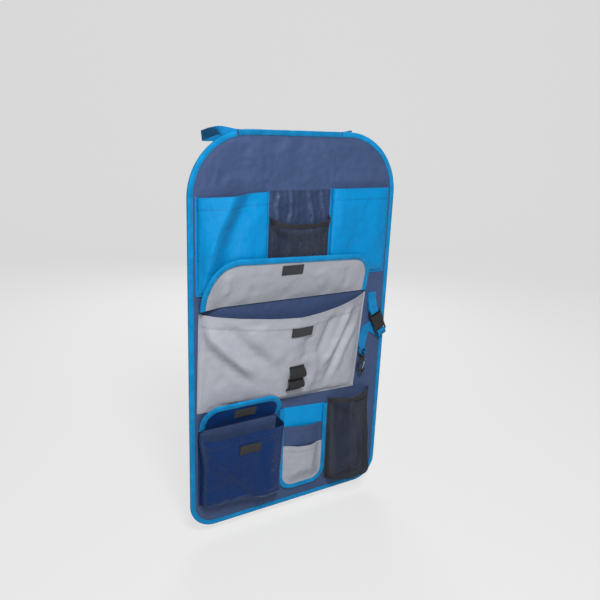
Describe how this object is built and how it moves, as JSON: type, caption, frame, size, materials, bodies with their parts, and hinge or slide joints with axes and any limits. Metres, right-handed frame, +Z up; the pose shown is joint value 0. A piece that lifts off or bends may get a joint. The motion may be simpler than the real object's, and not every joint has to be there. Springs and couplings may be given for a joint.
{
  "type": "car seat back organizer",
  "caption": "Cloth panel of open, flapped, tiered and net pockets that hangs from a buckled strap round two posts, with a key leash and snap hook.",
  "frame": {"origin": "centre of the back panel's rear face", "axes": "+Z up along the panel, +X to the right as seen from the pocket side, +Y out of the rear face toward the backrest it hangs on"},
  "size_m": [0.4308, 0.172, 0.7431],
  "materials": {
    "navy_cloth": "coated polyester cloth, satin",
    "blue_cloth": "coated polyester cloth, satin",
    "grey_cloth": "coated polyester cloth, satin",
    "edge_tape": "woven tape",
    "black_net": "open polyester net",
    "black_elastic": "woven elastic",
    "fastener_tape": "hook-and-loop tape",
    "blue_webbing": "woven webbing",
    "black_plastic": "moulded acetal",
    "steel": "plated"
  },
  "bodies": {
    "panel": {"back_panel": "navy_cloth", "edge_binding": "edge_tape", "top_tape": "edge_tape", "upper_left_pocket": "blue_cloth", "upper_centre_panel": "navy_cloth", "upper_right_pocket": "blue_cloth", "upper_net_pocket": "black_net", "upper_net_elastic": "black_elastic", "main_pocket": "grey_cloth", "main_flap": "grey_cloth", "main_flap_binding": "edge_tape", "main_flap_patch": "fastener_tape", "main_pocket_patch": "fastener_tape", "elastic_loops": "black_elastic", "lower_left_pocket": "navy_cloth", "lower_left_flap": "navy_cloth", "lower_left_flap_binding": "edge_tape", "lower_pocket_patch": "fastener_tape", "lower_flap_patch": "fastener_tape", "tier_backing": "blue_cloth", "tier_rear_pocket": "navy_cloth", "tier_front_pocket": "grey_cloth", "tier_binding": "edge_tape", "lower_net_pocket": "black_net", "lower_net_elastic": "black_elastic", "leash_upper_strap": "blue_webbing", "leash_lower_strap": "blue_webbing", "leash_ring": "blue_webbing", "leash_socket": "black_plastic", "leash_plug": "black_plastic", "strap_left": "blue_webbing", "strap_right": "blue_webbing", "strap_socket": "black_plastic", "strap_plug": "black_plastic"},
    "eye": {"hook_eye": "black_plastic"},
    "hook": {"hook_body": "black_plastic", "gate_pin": "steel"},
    "gate": {"hook_gate": "steel"}
  },
  "joints": [
    {"name": "eye_swing", "type": "hinge", "parent": "panel", "child": "eye", "pos_m": [0.156, -0.0145, -0.06598], "axis": [0, -1, 0], "range_deg": [-8, 60]},
    {"name": "hook_swivel", "type": "hinge", "parent": "eye", "child": "hook", "pos_m": [0.156, -0.0145, -0.076], "axis": [0, 0, 1], "continuous": true},
    {"name": "gate_hinge", "type": "hinge", "parent": "hook", "child": "gate", "pos_m": [0.16305, -0.0145, -0.08178], "axis": [0, 1, 0], "range_deg": [0, 18], "stiffness_Nm_per_rad": 0.03, "springref_deg": -17.19}
  ]
}
